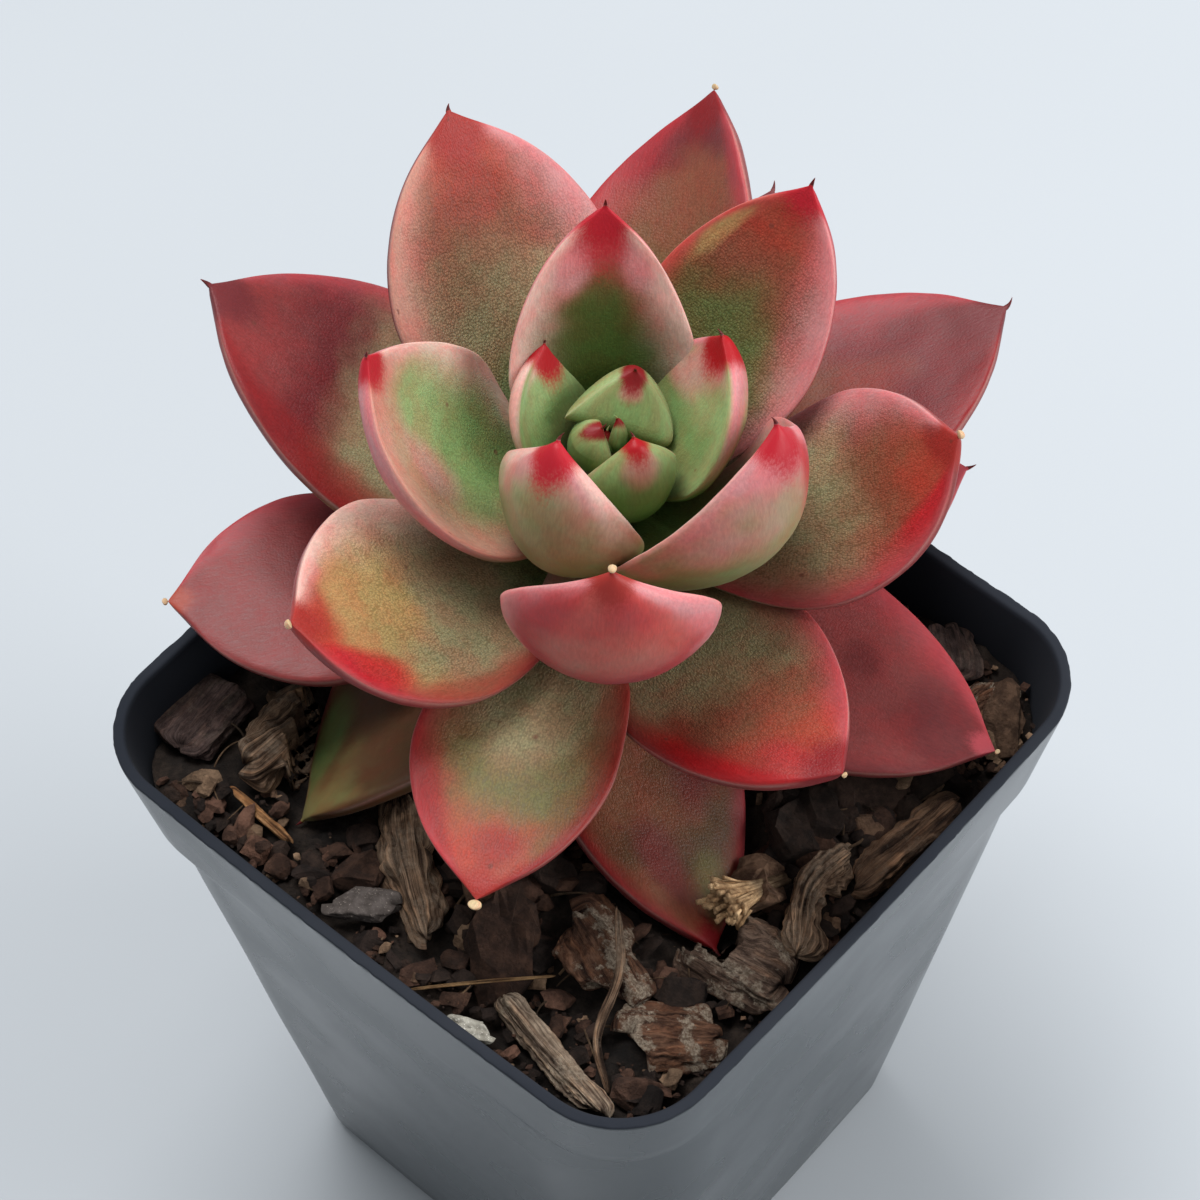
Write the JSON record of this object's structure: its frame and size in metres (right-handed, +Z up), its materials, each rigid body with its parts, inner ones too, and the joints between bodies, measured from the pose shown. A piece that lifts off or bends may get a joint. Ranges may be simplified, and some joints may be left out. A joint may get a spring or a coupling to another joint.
{
  "type": "potted echeveria succulent",
  "caption": "Fleshy rosette succulent with red-tipped, rosy-edged leaves on a short stem, growing in bark mix in a square tapered plastic nursery pot.",
  "frame": {"origin": "centre of the pot's flat underside", "axes": "+Z up; X and Y run along the sides of the square pot; the picture was taken from above the corner between +X and -Y"},
  "size_m": [0.0816, 0.0869, 0.1162],
  "materials": {
    "pot_plastic": "satin",
    "leaf_inner": "satin",
    "leaf_middle": "satin",
    "leaf_outer": "satin",
    "bud_green": "satin",
    "stem_flesh": "matte",
    "bark_mix": "matte",
    "bark_dark": "matte",
    "bark_fibrous": "matte",
    "bark_crusted": "matte",
    "wood_pale": "matte",
    "stone_grey": "matte",
    "stone_pale": "matte",
    "splinter": "matte",
    "stub_dry": "matte"
  },
  "bodies": {
    "root": {"pot": "pot_plastic", "stem": "stem_flesh", "centre_bud": "bud_green", "dry_stub": "stub_dry", "twig_curled": "bark_fibrous", "fibre_thin": "wood_pale", "stick_pale": "wood_pale", "root_bark_front": "bark_fibrous", "bark_slab_left": "bark_dark", "bark_fibrous_left": "bark_fibrous", "bark_fibrous_front": "bark_fibrous", "bark_chip_middle": "bark_dark", "bark_chip_front": "bark_dark", "bark_lump_crusted": "bark_crusted", "pebble_grey": "stone_grey", "pebble_white": "stone_pale", "splinter_orange": "splinter", "bark_chip_right": "bark_dark", "bark_chip_corner": "bark_dark", "bark_strip_right": "bark_fibrous", "potting_mix": "bark_mix", "leaf_01": "leaf_inner", "leaf_02": "leaf_inner", "leaf_03": "leaf_inner", "leaf_04": "leaf_inner", "leaf_05": "leaf_inner", "leaf_06": "leaf_inner", "leaf_07": "leaf_inner", "leaf_08": "leaf_inner", "leaf_09": "leaf_middle", "leaf_10": "leaf_middle", "leaf_11": "leaf_middle", "leaf_12": "leaf_middle", "leaf_13": "leaf_middle", "leaf_14": "leaf_middle", "leaf_15": "leaf_outer", "leaf_16": "leaf_outer", "leaf_17": "leaf_outer", "leaf_18": "leaf_outer", "leaf_19": "leaf_outer", "leaf_20": "leaf_outer", "leaf_21": "leaf_outer", "leaf_22": "leaf_outer", "leaf_23": "leaf_outer", "leaf_24": "leaf_outer", "leaf_25": "leaf_outer", "leaf_26": "leaf_outer", "leaf_27": "leaf_outer", "leaf_28": "leaf_outer"}
  },
  "joints": []
}
